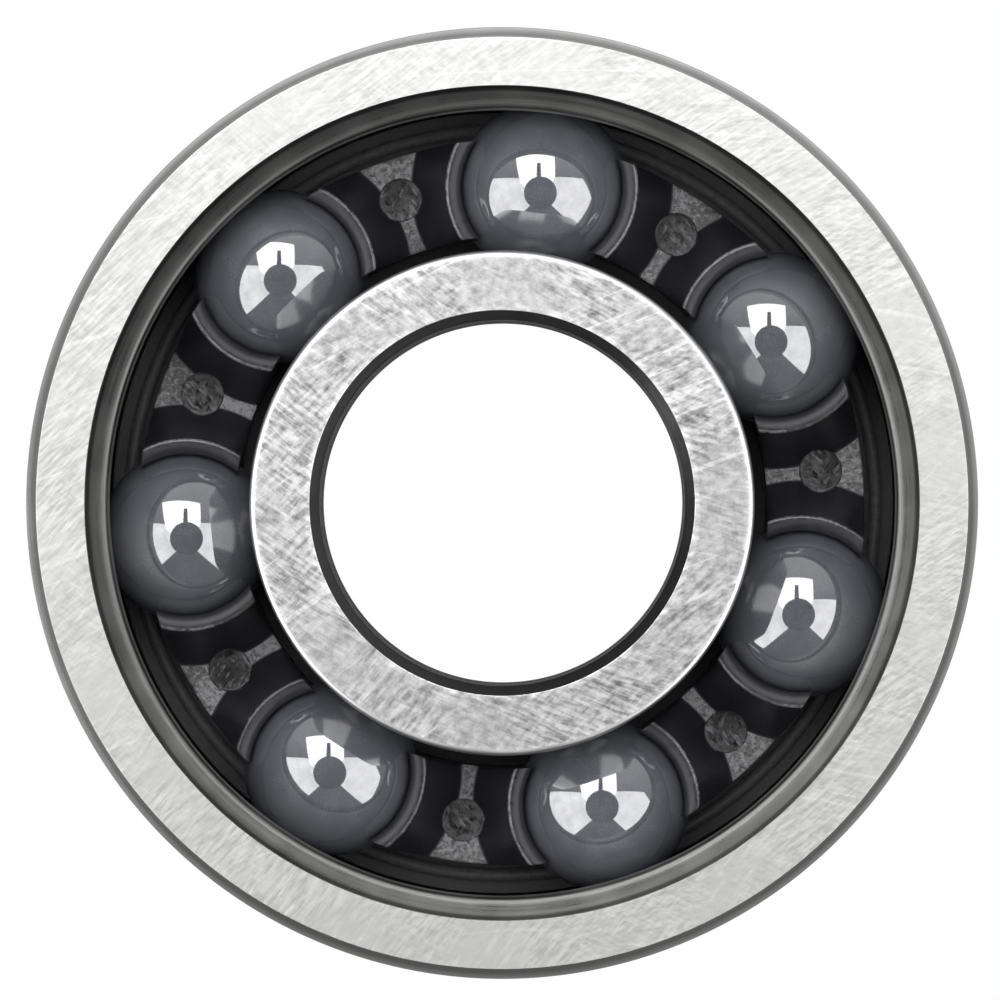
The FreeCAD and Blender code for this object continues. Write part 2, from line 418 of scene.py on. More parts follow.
FACE_OUT = ground_face(
    "outer_ground_face",
    [(39, 60.0, 1.3, 9.0, 1.1, 1.0),
     (17, 34.0, 1.5, 9.5, 0.7, 2.0),
     (150, 70.0, 1.8, 10.0, 0.45, 3.0)],
    dark=(0.285, 0.285, 0.282), light=(0.490, 0.490, 0.485), bump=0.0003, blotch=0.38,
    cloud_scale=2.6, mask_low=0.15, stroke_weight=0.28, scratch_weight=0.28,
    lean=0.07, lean_angle=115.0)
# Painted highlights: the inner face is 30 to 35 % lighter in bands at the bore's edge and
# beside the land's round; painted light makes it 7 % lighter towards 140 degrees and darker
# opposite.
FACE_IN = ground_face(
    "inner_ground_face",
    [(152, 34.0, 1.25, 7.8, 1.1, 5.0),
     (42, 40.0, 1.25, 7.8, 0.85, 4.0),
     (14, 26.0, 1.6, 8.2, 0.4, 6.0)],
    dark=grey(0.105), light=grey(0.530), bump=0.0004, blotch=0.46,
    cloud_scale=3.3, mask_low=0.10, stroke_weight=0.20, scratch_weight=0.30,
    lean=0.07, lean_angle=140.0,
    painted_light_by_radius=[(5.26, 1.30), (5.36, 1.25), (5.44, 1.0), (6.63, 1.0), (6.68, 1.12), (6.73, 1.28),
          (6.80, 1.35)])
STEEL_OD = turned_steel("ground_cylinder", base=(0.62, 0.62, 0.61), rough=0.24)
# Painted shade and highlight on the outer chamfer: a darker line near the face, lighter
# towards the outside, and 30 % lighter towards +Y, darker opposite.
STEEL_EDGE = turned_steel(
    "turned_corner", base=(0.29, 0.29, 0.285), rough=0.22, tint=0.1, lean=0.30,
    painted_light_by_radius=[(12.72, 1.0), (12.77, 0.80), (12.83, 0.80), (12.90, 1.2), (12.97, 1.6),
          (13.02, 1.7)])
# Painted shade: the recess behind the lip is given far darker steel than the faces, for the
# shade under the lip.
STEEL_RECESS = turned_steel("turned_recess", base=(0.085, 0.087, 0.08), rough=0.24, tint=0.18)
# Painted shade and highlight on the ledge: darker steel than the faces for the recess's shade,
# darkest near the lip as its painted shadow, a painted highlight along the inner edge, and 35
# % lighter towards -40 degrees.
STEEL_LEDGE = turned_steel(
    "turned_ledge", base=(0.100, 0.100, 0.098), rough=0.30, bump=0.00006, fine=14.0,
    lean=0.35, lean_angle=-40.0,
    painted_light_by_radius=[(10.90, 1.45), (11.02, 1.15), (11.12, 1.0), (11.28, 1.0), (11.32, 0.5),
          (11.36, 0.35), (11.45, 0.3)])
# Painted shade: the round at the shoulder gets darker steel for the recess's shade, 14 %
# lighter towards -20 degrees and darker opposite.
STEEL_ROUND = turned_steel("turned_round", base=(0.074, 0.074, 0.071), rough=0.40, tint=0.10,
                           lean=0.14, lean_angle=-20.0)
STEEL_SHOULDER = turned_steel("ground_shoulder", base=grey(0.19), rough=0.45, tint=0.1)
STEEL_LAND = turned_steel("ground_land", base=grey(0.24), rough=0.19, tint=0.1)
# Painted shade: the bore's chamfers get dark steel for the shade in the bore, 60 % lighter
# towards 110 degrees and 60 % darker opposite.
STEEL_BORE_PAINTED_SHADE = turned_steel("honed_bore", base=grey(0.076), rough=0.22, tint=0.1,
                          lean=0.6, lean_angle=110.0)
STEEL_WALL = turned_steel("honed_bore_wall", base=(0.46, 0.46, 0.455), rough=0.26, tint=0.08)
# Painted highlight: the land's round gets lighter steel than the land, to widen its highlight.
STEEL_LAND_ROUND = turned_steel("ground_land_round", base=grey(0.34), rough=0.38, tint=0.1)
STEEL_RACE = turned_steel("honed_raceway", base=grey(0.34), rough=0.22, tint=0.06,
                          bump=0.0002, fine=30.0)
STEEL_SHEET = turned_steel("rolled_sheet", base=grey(0.45), rough=0.32, tint=0.1)


# ---------------------------------------------- ceramic, nylon and rubber
def ceramic_material():
    tree = new_material("polished_dark_ceramic")
    place = tree.coords()
    cloud = tree.noise(place, scale=1.6, detail=4.0, rough=0.6)
    speck = tree.noise(place, scale=14.0)
    both = tree.math("ADD", tree.math("MULTIPLY", cloud, 0.7),
                     tree.math("MULTIPLY", speck, 0.3))
    colour = tree.mix(tree.remap(both, span=(0.3, 0.7)),
                      (0.030, 0.031, 0.036), (0.046, 0.047, 0.054))
    rough = tree.remap(speck, span=(0.3, 0.7), to=(0.035, 0.06))
    return tree.principled(Base_Color=colour, Roughness=rough, IOR=2.0)


def moulded(name, dark, light, rough, grain, bump, scratch=0.0, speck=0.0, ior=1.42,
            patch=0.0):
    """Moulded plastic or rubber with a grain of the given scale (per mm).
    scratch, speck and patch weigh crossing scratches, bright specks and broad
    uneven areas."""
    tree = new_material(name)
    place = tree.coords()
    coarse = tree.noise(place, scale=grain, detail=3.0, rough=0.65)
    fine = tree.noise(place, scale=grain * 3.1, rough=0.6)
    both = tree.math("ADD", tree.math("MULTIPLY", coarse, 0.6),
                     tree.math("MULTIPLY", fine, 0.4))
    level = tree.remap(both, span=(0.35, 0.65))
    height = both
    if scratch:
        first = streaks(tree, place, angle=62, along=0.5, across=9.0, seed=3.0)
        second = streaks(tree, place, angle=118, along=0.6, across=8.0, seed=5.0)
        lines = tree.math("ADD", tree.math("MULTIPLY", first, 0.6),
                          tree.math("MULTIPLY", second, 0.4))
        level = tree.node("Mix", {0: scratch, 2: level,
                                  3: tree.remap(lines, span=(0.38, 0.62))},
                          data_type="FLOAT").outputs[0]
        height = tree.math("ADD", height, tree.math("MULTIPLY", lines, scratch))
    if speck:
        bright = tree.peaks(tree.noise(place, scale=grain * 1.7, detail=1.0),
                            start=0.52, full=0.66)
        level = tree.math("ADD", level, tree.math("MULTIPLY", bright, speck))
    if patch:
        area = tree.remap(tree.noise(place, scale=0.45, detail=1.0), span=(0.35, 0.65),
                          to=(1 - patch, 1 + patch))
        level = tree.math("MULTIPLY", level, area)
    return tree.principled(Base_Color=tree.mix(level, dark, light), IOR=ior,
                           Roughness=tree.remap(both, span=(0.3, 0.7), to=rough),
                           Normal=tree.bump(height, bump))


def dent_material():
    """Ejector dents: dark, scored by short strokes in two directions."""
    tree = new_material("ejector_dent")
    place = tree.coords()
    first = streaks(tree, place, angle=128, along=2.4, across=7.5, seed=2.0)
    first = tree.peaks(first, start=0.52, full=0.64)
    second = streaks(tree, place, angle=62, along=2.8, across=7.0, seed=5.0)
    second = tree.peaks(second, start=0.55, full=0.65, level=0.8)
    # patches where the first direction takes over from the second
    mask = tree.noise(tree.vmath("ADD", place, (5.0, 17.0, 0.0)), scale=0.9, detail=1.0)
    mask = tree.remap(mask, span=(0.42, 0.58), to=(0.15, 1.0))
    rest = tree.math("SUBTRACT", 1.0, mask)
    lines = tree.math("MAXIMUM", tree.math("MULTIPLY", first, mask),
                      tree.math("MULTIPLY", second, rest))
    grain = tree.noise(place, scale=5.0, detail=3.0, rough=0.65)
    mottle = tree.remap(grain, span=(0.40, 0.66), to=(0.0, 0.45))
    mottle = tree.math("MULTIPLY", mottle, tree.math("ADD", mask, 0.35))
    lines = tree.math("MAXIMUM", lines, mottle)
    colour = tree.mix(lines, (0.0005, 0.0005, 0.0008), (0.065, 0.065, 0.070))
    height = tree.math("ADD", tree.math("MULTIPLY", lines, 0.8),
                       tree.math("MULTIPLY", grain, 0.4))
    rough = tree.remap(grain, span=(0.3, 0.7), to=(0.26, 0.44))
    return tree.principled(Base_Color=colour, Roughness=rough, IOR=1.33,
                           Normal=tree.bump(height, 0.010))


CERAMIC = ceramic_material()
CAGE_MOUTH = moulded("claw_mouth", dark=(0.003, 0.003, 0.004), light=(0.010, 0.010, 0.012),
                     rough=(0.42, 0.56), grain=3.0, bump=0.004, scratch=0.2, ior=1.36)
# Painted highlight: the top of each claw's back gets a lighter, patchy copy of the nylon for
# the dotted highlight along it.
CAGE_BACK_PAINTED_HIGHLIGHT = moulded("claw_back_edge", dark=grey(0.0), light=(0.058, 0.058, 0.061),
                    rough=(0.25, 0.45), grain=4.6, bump=0.012, speck=0.7, ior=1.40, patch=0.6)
CAGE_SATIN = moulded("moulded_nylon", dark=(0.004, 0.004, 0.0052),
                     light=(0.008, 0.008, 0.0100), rough=(0.30, 0.42), grain=5.0,
                     bump=0.003, ior=1.37)
CAGE_CLAW_TIP = moulded("claw_tip_nylon", dark=grey(0.0), light=(0.013, 0.013, 0.015),
                        rough=(0.26, 0.42), grain=6.5, bump=0.010, speck=0.35, ior=1.36)
CAGE_ROUGH = moulded("spark_eroded_floor", dark=grey(0.0), light=(0.098, 0.098, 0.102),
                     rough=(0.40, 0.60), grain=4.2, bump=0.06, speck=0.9, patch=0.55)
CAGE_DENT = dent_material()
# Painted highlight: the seal's rib gets a lighter copy of the rubber for the light it catches.
RUBBER_RIB_PAINTED_HIGHLIGHT = moulded("moulded_rubber_rib", dark=(0.032, 0.032, 0.034),
                     light=(0.064, 0.064, 0.066), rough=(0.34, 0.5), grain=6.0, bump=0.004)
RUBBER = moulded("moulded_rubber", dark=(0.014, 0.014, 0.015), light=(0.028, 0.028, 0.029),
                 rough=(0.5, 0.7), grain=6.0, bump=0.004)

# ---------------------------------------------------------------------- rings
# Tags of the stretches of a ring's outline: its material numbers. The last one
# is the shoulder on the outer ring and the bore's wall on the inner ring.
FACE, CYLINDER, CHAMFER, RECESS, RACE, LEDGE, ROUND, SHOULDER = range(8)
WALL = SHOULDER


def groove(edge_r, centre_r, start, steps, after):
    """Corners of a raceway, from its edge on the start side (+1 or -1 in Z) to
    the other; after is the tag of the stretch that follows."""
    reach = math.sqrt(GROOVE_R ** 2 - (edge_r - centre_r) ** 2)
    angle = math.atan2(reach, edge_r - centre_r)
    first, last = (angle, -angle) if start > 0 else (2 * math.pi - angle, angle)
    z, ease = start * reach, start * GROOVE_EASE
    corners = [(edge_r, z + ease, 0.0, RACE), (edge_r, z, 0.0, RACE)]
    for j in range(1, steps):
        angle = first + (last - first) * j / steps
        corners.append((centre_r + GROOVE_R * math.cos(angle), GROOVE_R * math.sin(angle),
                        0.0, RACE))
    return corners + [(edge_r, -z, 0.0, RACE), (edge_r, -z - ease, 0.0, after)]


def outer_ring():
    corners = [
        (R_OUT, -HALF + OUTER_CHAMFER, 0.04, CYLINDER),
        (R_OUT, HALF - OUTER_CHAMFER, 0.04, CHAMFER),
        (R_OUT - OUTER_CHAMFER, HALF, 0.012, FACE),
        # the lip's round takes the dark recess steel, painted shade in place of its highlight
        (LIP_R, HALF, 0.012, RECESS, RECESS),
        (LIP_R, Z_LIP, 0.03, RECESS),
        (UNDER_R, Z_SLOPE, 0.04, RECESS),
        (UNDER_R, Z_LEDGE + LEDGE_BEVEL, 0.02, RECESS),
        (LEDGE_R, Z_LEDGE, 0.02, LEDGE),
        (SHOULDER_R, ledge_z(SHOULDER_R), SHOULDER_ROUND, SHOULDER, ROUND),
    ] + groove(SHOULDER_R, PITCH_R + BALL_R + GAP - GROOVE_R, start=1, steps=30,
               after=SHOULDER) + [
        (SHOULDER_R, -ledge_z(SHOULDER_R), SHOULDER_ROUND, LEDGE, ROUND),
        (LEDGE_R, -Z_LEDGE, 0.02, RECESS),
        (UNDER_R, -Z_LEDGE - LEDGE_BEVEL, 0.02, RECESS),
        (UNDER_R, -Z_SLOPE, 0.04, RECESS),
        (LIP_R, -Z_LIP, 0.03, RECESS),
        (LIP_R, -HALF, 0.03, FACE),
        (R_OUT - OUTER_CHAMFER, -HALF, 0.012, CHAMFER),
    ]
    materials = [FACE_OUT, STEEL_OD, STEEL_EDGE, STEEL_RECESS, STEEL_RACE, STEEL_LEDGE,
                 STEEL_ROUND, STEEL_SHOULDER]
    ring = lathe("outer_ring_turned", corners, materials, round_steps=5, segments=600)
    hand_over(ring, "outer", "outer_ring")


def inner_ring():
    corners = [
        (BORE_R, -HALF + BORE_CHAMFER, 0.03, CHAMFER),
        (BORE_R + BORE_CHAMFER, -HALF, 0.03, FACE),
        (LAND_R, -HALF, 0.15, CYLINDER, ROUND),
    ] + groove(LAND_R, PITCH_R - BALL_R - GAP + GROOVE_R, start=-1, steps=36,
               after=CYLINDER) + [
        (LAND_R, HALF, 0.15, FACE, ROUND),
        (BORE_R + BORE_CHAMFER, HALF, 0.03, CHAMFER),
        (BORE_R, HALF - BORE_CHAMFER, 0.03, WALL, CHAMFER),
    ]
    # no stretch is tagged RECESS or LEDGE here; their slots only keep the numbering
    materials = [FACE_IN, STEEL_LAND, STEEL_BORE_PAINTED_SHADE, STEEL_RECESS, STEEL_RACE, STEEL_RECESS,
                 STEEL_LAND_ROUND, STEEL_WALL]
    ring = lathe("inner_ring_turned", corners, materials, round_steps=6, segments=720)
    hand_over(ring, "inner", "inner_ring")


outer_ring()
inner_ring()


# ---------------------------------------------------------------------- balls
def ball(name, centre, cells=44):
    """Sphere from the six faces of a cube, each a grid of cells x cells."""
    spread = np.tan(np.linspace(-math.pi / 4, math.pi / 4, cells + 1))
    across, along = np.meshgrid(spread, spread, indexing="ij")
    row = cells + 1
    verts, faces = [], []
    for sign in (1, -1):
        for axes in ((0, 1, 2), (1, 2, 0), (2, 0, 1)):
            patch = np.empty(across.shape + (3,))
            patch[..., axes[0]] = across
            patch[..., axes[1]] = along
            patch[..., axes[2]] = sign
            patch /= np.linalg.norm(patch, axis=-1, keepdims=True)
            base = len(verts) * row * row
            verts.append(patch.reshape(-1, 3))
            for i in range(cells):
                for j in range(cells):
                    k = base + i * row + j
                    face = (k, k + row, k + row + 1, k + 1)
                    faces.append(face if sign > 0 else face[::-1])
    verts = np.concatenate(verts) * BALL_R + np.array(centre)
    return make_object(name, verts, faces, [CERAMIC], sharp=180.0, merge=1e-7)


for k, centre in zip(BALLS, CENTRES):
    name = "ball_%d" % k
    hand_over(ball(name + "_polished", centre), name, name)

# ----------------------------------------------------------------------- cage
CAGE_IN, CAGE_OUT = 7.3, 10.0
FLOOR_Z = -0.85                              # top of the web between claws
POCKET_R = 2.45
MOUTH_ROUND, TIP_ROUND, FOOT_ROUND = 0.30, 0.08, 0.05
# the claw's back: distance from the ball's vertical centre line at the tip and
# at the root, and how far it is hollowed between them
TIP_D, ROOT_D, HOLLOW = 2.655, 3.583, 0.16
CAGE_EDGE = 0.05                             # round of the inner and outer edges
CAGE_CHAMFER = 0.12                          # along the bottom
HALF_STEP = math.pi / 7                      # from a ball to midway to the next
# quads across floor, tip, pocket below the floor, wall under the pocket, bottom
FLOOR_CELLS, TIP_CELLS, LOW_CELLS, WALL_CELLS, BOTTOM_CELLS = 18, 6, 16, 4, 12
MOUTH_CELLS = 8                              # of the round at the pocket's mouth
BACK_TIP_CELLS = 3                           # topmost cells of the claw's back

DENT_R, DENT_CIRCLE, DENT_SEGMENTS = 0.6, 8.84, 96
# (radius, height above the floor) of the cutter, top to bottom
DENT_PROFILE = [(DENT_R, 2.6), (DENT_R, -0.004), (0.585, -0.014), (0.545, -0.032),
                (0.52, -0.036), (0.30, -0.028)]


def claw_back():
    """Back of a claw, the side away from its ball, from root to tip as (d, z)
    points, d being the distance from the ball's vertical centre line."""
    root, tip = np.array([ROOT_D, FLOOR_Z]), np.array([TIP_D, CAGE_TIP])
    middle = np.array([(TIP_D + ROOT_D) / 2, (CAGE_TIP + FLOOR_Z) / 2])
    run, rise = ROOT_D - TIP_D, CAGE_TIP - FLOOR_Z
    chord = math.hypot(run, rise)
    hollow = np.array([middle[0] - HOLLOW * rise / chord, middle[1] - HOLLOW * run / chord])
    # circle through root, hollow point and tip
    sides = np.array([2 * (hollow - root), 2 * (tip - root)])
    squares = np.array([hollow @ hollow - root @ root, tip @ tip - root @ root])
    centre = np.linalg.solve(sides, squares)
    radius = np.linalg.norm(root - centre)

    heights = [FLOOR_Z + FOOT_ROUND * (1 - math.cos(math.radians(x)))
               for x in (0, 25, 50, 75, 90)]
    heights += list(np.linspace(FLOOR_Z + FOOT_ROUND, CAGE_TIP - TIP_ROUND, 15)[1:])
    heights += [CAGE_TIP - TIP_ROUND + TIP_ROUND * math.sin(math.radians(x))
                for x in (25, 50, 72, 90)]
    points = []
    for z in heights:
        d = centre[0] - math.sqrt(max(radius ** 2 - (z - centre[1]) ** 2, 0.0))
        if z < FLOOR_Z + FOOT_ROUND:
            below = FOOT_ROUND - (z - FLOOR_Z)
            d += FOOT_ROUND - math.sqrt(max(FOOT_ROUND ** 2 - below ** 2, 0))
        if z > CAGE_TIP - TIP_ROUND:
            above = z - CAGE_TIP + TIP_ROUND
            d -= TIP_ROUND - math.sqrt(max(TIP_ROUND ** 2 - above ** 2, 0))
        points.append((d, z))
    return np.array(points)


def claw_inside(count):
    """Inside of a claw, facing its ball, from tip to floor level as (d, z)."""
    # round between the tip face and the pocket, touching both
    centre_z = CAGE_TIP - MOUTH_ROUND
    centre_d = math.sqrt((POCKET_R + MOUTH_ROUND) ** 2 - centre_z ** 2)
    first, last = math.pi / 2, math.pi + math.atan2(centre_z, centre_d)
    points = []
    for j in range(MOUTH_CELLS + 1):
        angle = first + (last - first) * j / MOUTH_CELLS
        points.append((centre_d + MOUTH_ROUND * math.cos(angle),
                       centre_z + MOUTH_ROUND * math.sin(angle)))
    for z in np.linspace(points[-1][1], FLOOR_Z, count - len(points) + 1)[1:]:
        points.append((math.sqrt(POCKET_R ** 2 - z * z), z))
    return np.array(points)


def chain_normals(points):
    """Unit normals to the right of the chain's run, out of the claw."""
    run = np.gradient(points, axis=0)
    normals = np.stack([run[:, 1], -run[:, 0]], -1)
    return normals / np.linalg.norm(normals, axis=1, keepdims=True)


BACK = claw_back()
INSIDE = claw_inside(len(BACK))
BACK_NORMALS, INSIDE_NORMALS = chain_normals(BACK), chain_normals(INSIDE)
CLAW_CELLS = len(BACK) - 1


def cage_stations():
    """(radius, inset) across the cage, the inset rounding both edges."""
    ease = [(CAGE_EDGE * (1 - math.cos(math.radians(x))),
             CAGE_EDGE * (1 - math.sin(math.radians(x)))) for x in (0, 30, 60, 90)]
    middle = np.linspace(CAGE_IN + CAGE_EDGE, CAGE_OUT - CAGE_EDGE, 27)[1:-1]
    return ([(CAGE_IN + step, inset) for step, inset in ease]
            + [(r, 0.0) for r in middle]
            + [(CAGE_OUT - step, inset) for step, inset in reversed(ease)])


def swing(r, d):
    """Angle from the ball, about the bore axis, of a point at radius r that is
    d from the ball's vertical centre line."""
    cosine = (r * r + PITCH_R ** 2 - d * d) / (2 * r * PITCH_R)
    return math.acos(max(-1.0, min(1.0, cosine)))


def between(start, end, cells):
    return [(start[0] + (end[0] - start[0]) * i / cells,
             start[1] + (end[1] - start[1]) * i / cells) for i in range(cells + 1)]


def claw_rows(r, inset):
    """Floor, back, tip and inside of half a pitch at radius r, as rows of
    (angle, z) points."""
    back = [(swing(r, d), z) for d, z in BACK - BACK_NORMALS * inset]
    inside = [(swing(r, d), z) for d, z in INSIDE - INSIDE_NORMALS * inset]
    root, floor_z = back[0]
    floor = [(HALF_STEP + (root - HALF_STEP) * j / FLOOR_CELLS, floor_z)
             for j in range(FLOOR_CELLS + 1)]
    tip = between(back[-1], inside[0], TIP_CELLS)
    # the pocket below the floor level
    pocket = POCKET_R + inset
    section = math.sqrt(pocket * pocket - (r - PITCH_R) ** 2)
    start = math.acos(-inside[-1][1] / section)
    for j in range(1, LOW_CELLS + 1):
        angle = start * (1 - j / LOW_CELLS)
        sine = section * math.sin(angle) / (2 * math.sqrt(r * PITCH_R))
        inside.append((2 * math.asin(min(1.0, sine)), -section * math.cos(angle)))
    return floor, back, tip, inside


def side_wall(floor, back, inside):
    """Rows of (angle, z) from floor level down to the bottom chamfer."""
    top = floor + between(back[0], inside[CLAW_CELLS], TIP_CELLS)[1:]
    end = top[-1][0]
    parts = [(t - HALF_STEP) / (end - HALF_STEP) for t, _ in top]
    rows = [top]
    for j in range(1, LOW_CELLS + 1):
        # every column settles to the height of the pocket's row
        pocket_t, z = inside[CLAW_CELLS + j]
        rows.append([(HALF_STEP + part * (pocket_t - HALF_STEP),
                      z + (top_z - z) * (1 - j / LOW_CELLS) * (1 - part))
                     for part, (_, top_z) in zip(parts, top)])
    base_z = CAGE_LOW + CAGE_CHAMFER
    pocket_row = rows[-1]
    for j in range(1, WALL_CELLS + 1):
        rows.append([(t, z + (base_z - z) * j / WALL_CELLS) for t, z in pocket_row])
    return rows


def cage_mesh():
    """The cage before its dents, from fourteen mirrored half pitches."""
    satin, claw_tip, rough, _, back_edge, mouth = range(6)
    # the topmost cells of each claw's back take the painted-highlight nylon
    back_slots = [satin] * (CLAW_CELLS - BACK_TIP_CELLS) + [back_edge] * BACK_TIP_CELLS
    inside_slots = [mouth] * MOUTH_CELLS
    inside_slots += [satin] * (CLAW_CELLS + LOW_CELLS - MOUTH_CELLS)
    verts, faces, slots = [], [], []

    def put(grid, slot):
        """Add a grid of (radius, angle, z) points; slot is a material number,
        or one for each column of quads."""
        base, width = len(verts), len(grid[0])
        for row in grid:
            for r, t, z in row:
                angle = ball_angle + side * t
                verts.append((r * math.cos(angle), r * math.sin(angle), z))
        for i in range(len(grid) - 1):
            for j in range(width - 1):
                k = base + i * width + j
                faces.append((k, k + width, k + width + 1, k + 1))
                slots.append(slot[j] if isinstance(slot, list) else slot)

    def at(r, row):
        return [(r, t, z) for t, z in row]

    radii, insets = zip(*cage_stations())
    floors, backs, tips, insides = zip(*map(claw_rows, radii, insets))
    for ball_angle in BALL_ANGLES:
        for side in (1, -1):
            for rows, slot in ((floors, rough), (backs, back_slots), (tips, claw_tip),
                               (insides, inside_slots)):
                put([at(r, row) for r, row in zip(radii, rows)], slot)
            bottom_edges = []
            for end, inward in ((0, CAGE_CHAMFER), (-1, -CAGE_CHAMFER)):
                r, back, inside = radii[end], backs[end], insides[end]
                # side of the claw
                put([at(r, between(back[j], inside[CLAW_CELLS - j], TIP_CELLS))
                     for j in range(CLAW_CELLS + 1)], satin)
                wall = side_wall(floors[end], back, inside)
                put([at(r, row) for row in wall], satin)
                edge = [(r + inward, t, CAGE_LOW) for t, _ in wall[-1]]
                put([at(r, wall[-1]), edge], satin)
                bottom_edges.append(edge)
            bottom = []
            for i in range(BOTTOM_CELLS + 1):
                part = i / BOTTOM_CELLS
                bottom.append([(a[0] + (b[0] - a[0]) * part, a[1] + (b[1] - a[1]) * part,
                                CAGE_LOW) for a, b in zip(*bottom_edges)])
            put(bottom, satin)
    materials = [CAGE_SATIN, CAGE_CLAW_TIP, CAGE_ROUGH, CAGE_DENT, CAGE_BACK_PAINTED_HIGHLIGHT, CAGE_MOUTH]
    return make_object("cage_moulded", verts, faces, materials, sharp=30.0, slots=slots,
                       merge=2e-7)


def dent_cutter():
    """Round plugs midway between the balls, shaped as ejector-pin dents."""
    verts, faces = [], []
    count = DENT_SEGMENTS
    for ball_angle in BALL_ANGLES:
        middle = ball_angle + HALF_STEP
        x, y = DENT_CIRCLE * math.cos(middle), DENT_CIRCLE * math.sin(middle)
        base = len(verts)
        for radius, height in DENT_PROFILE:
            for i in range(count):
                angle = 2 * math.pi * i / count
                verts.append((x + radius * math.cos(angle), y + radius * math.sin(angle),
                              FLOOR_Z + height))
        last = base + (len(DENT_PROFILE) - 1) * count
        for ring in range(base, last, count):
            for i in range(count):
                j = (i + 1) % count
                faces.append((ring + i, ring + count + i, ring + count + j, ring + j))
        faces.append(tuple(base + i for i in range(count)))
        faces.append(tuple(last + i for i in reversed(range(count))))
    return make_object("pin_cutter", verts, faces, [CAGE_DENT], sharp=30.0, merge=1e-9)


def cut_dents(cage):
    """Cut the dents out of the floor and the feet of the claws."""
    cutter = dent_cutter()
    cut = cage.modifiers.new("pins", "BOOLEAN")
    cut.operation = "DIFFERENCE"
    cut.solver = "EXACT"
    cut.material_mode = "TRANSFER"
    cut.object = cutter
    bpy.context.view_layer.update()
    depsgraph = bpy.context.evaluated_depsgraph_get()
    mesh = bpy.data.meshes.new_from_object(cage.evaluated_get(depsgraph))
    cage.modifiers.clear()
    uncut = cage.data
    cage.data = mesh
    bpy.data.meshes.remove(uncut)
    bpy.data.objects.remove(cutter)
    mesh.polygons.foreach_set("use_smooth", [True] * len(mesh.polygons))
    mesh.set_sharp_from_angle(angle=math.radians(30))


cage = cage_mesh()
cut_dents(cage)
hand_over(cage, "cage", "cage")

# ----------------------------------------------------------------------- seal
WASHER_IN, WASHER_OUT = 7.45, 11.05
WASHER_LOW, WASHER_TOP = -3.65, -3.40
SEAL_IN, SEAL_OUT = 6.98, 11.34
SEAL_LOW, SEAL_TOP = -3.85, -3.25
LEDGE_GAP = 0.005                            # between seal and ledge


def seal():
    """Rubber moulding with one rib on top and room for the washer."""
    rubber, rib = range(2)
    corners = [
        (SEAL_IN, SEAL_LOW, 0.05, rubber),
        (SEAL_OUT, SEAL_LOW, 0.05, rubber),
        (SEAL_OUT, -Z_LIP + 0.02, 0.0, rubber),
        (11.58, -Z_SLOPE + 0.02, 0.05, rubber),
        (11.58, -Z_LEDGE - 0.14, 0.0, rubber),
        (11.44, -ledge_z(11.44) - LEDGE_GAP, 0.03, rubber),
        (11.02, -ledge_z(11.02) - LEDGE_GAP, 0.05, rubber),
        (10.86, SEAL_TOP, 0.04, rubber),
        (10.56, SEAL_TOP, 0.05, rib),
        (10.50, -3.17, 0.10, rib),
        (10.37, -3.125, 0.20, rib),
        (10.24, -3.17, 0.10, rib),
        (10.18, SEAL_TOP, 0.05, rubber),
        (9.90, SEAL_TOP, 0.04, rubber),
        (9.80, WASHER_TOP, 0.0, rubber),
        (WASHER_OUT, WASHER_TOP, 0.0, rubber),
        (WASHER_OUT, WASHER_LOW, 0.0, rubber),
        (WASHER_IN, WASHER_LOW, 0.0, rubber),
        (WASHER_IN, WASHER_TOP, 0.0, rubber),
        (7.70, WASHER_TOP, 0.0, rubber),
        (7.62, SEAL_TOP, 0.04, rubber),
        (SEAL_IN, SEAL_TOP, 0.08, rubber),
    ]
    moulding = lathe("seal_moulding", corners, [RUBBER, RUBBER_RIB_PAINTED_HIGHLIGHT], round_steps=4,
                     segments=360)
    hand_over(moulding, "outer", "seal_rubber")


def washer():
    corners = [(r, z, 0.02, 0) for r, z in (
        (WASHER_IN, WASHER_LOW), (WASHER_OUT, WASHER_LOW),
        (WASHER_OUT, WASHER_TOP), (WASHER_IN, WASHER_TOP))]
    sheet = lathe("seal_washer", corners, [STEEL_SHEET], round_steps=2, segments=360)
    hand_over(sheet, "outer", "seal_insert")


seal()
washer()

# ------------------------------------------- panels and shades, in metres
# Each is placed by where its reflection falls on a ball seen from above: x and
# y are fractions of the ball's radius.
PANEL_DISTANCE = 0.30
# name, strength, unevenness, outline of the reflection
PANELS = [
    ("panel_top", 9.0, 0.0, [(-0.29, 0.365), (0.145, 0.365), (0.145, 0.0), (-0.22, 0.0)]),
    ("panel_left", 5.6, 0.16, [(-0.62, 0.12), (-0.24, 0.12), (-0.09, -0.05),
                               (-0.13, -0.19), (-0.42, -0.44), (-0.57, -0.33)]),
    ("panel_right", 5.6, 0.12, [(0.06, 0.13), (0.47, 0.12), (0.575, -0.10),
                                (0.39, -0.43), (0.045, -0.12)]),
]
ROUND_PLACE, ROUND_SIZE, ROUND_DISTANCE = (-0.014, -0.045), 0.19, 0.19
POST_OUTLINE = [(-0.058, 0.10), (-0.002, 0.10), (-0.010, 0.30), (-0.050, 0.30)]
POST_DISTANCE = 0.185


def reflected(x, y):
    """Direction in which a ball mirrors the view from above at (x, y)."""
    z = math.sqrt(1 - x * x - y * y)
    return Vector((2 * x * z, 2 * y * z, 2 * z * z - 1))


def hidden_sheet(name, verts, material):
    """One flat face that the camera does not see directly."""
    ob = add_mesh(name, verts, [tuple(range(len(verts)))], [material])
    ob.visible_camera = False
    return ob


